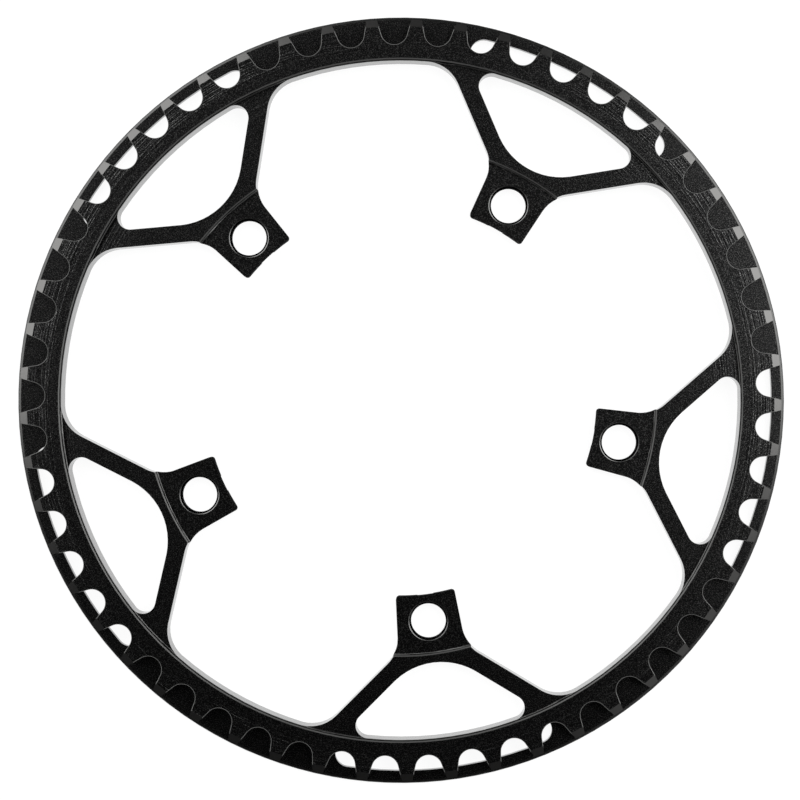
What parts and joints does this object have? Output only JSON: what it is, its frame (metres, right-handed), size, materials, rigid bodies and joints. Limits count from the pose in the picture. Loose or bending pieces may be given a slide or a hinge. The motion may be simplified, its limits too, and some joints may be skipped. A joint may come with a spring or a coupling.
{
  "type": "bicycle chainring",
  "caption": "Single bicycle chainring with a slotted chain guard machined in one piece, forked arms and bolt tabs round an open middle.",
  "frame": {"origin": "on the crank axis, at the guard's outer face, which the part lies on", "axes": "+Z along the crank axis from the guard towards the toothed face and the crank's spider; +X through the first bolt hole"},
  "size_m": [0.2248, 0.2248, 0.0066],
  "materials": {
    "anodised_aluminium": "black anodised over a fine blasted surface, with faint turning marks on the toothed face and brighter cut bevels"
  },
  "bodies": {
    "root": {"chainring": "anodised_aluminium"}
  },
  "joints": []
}
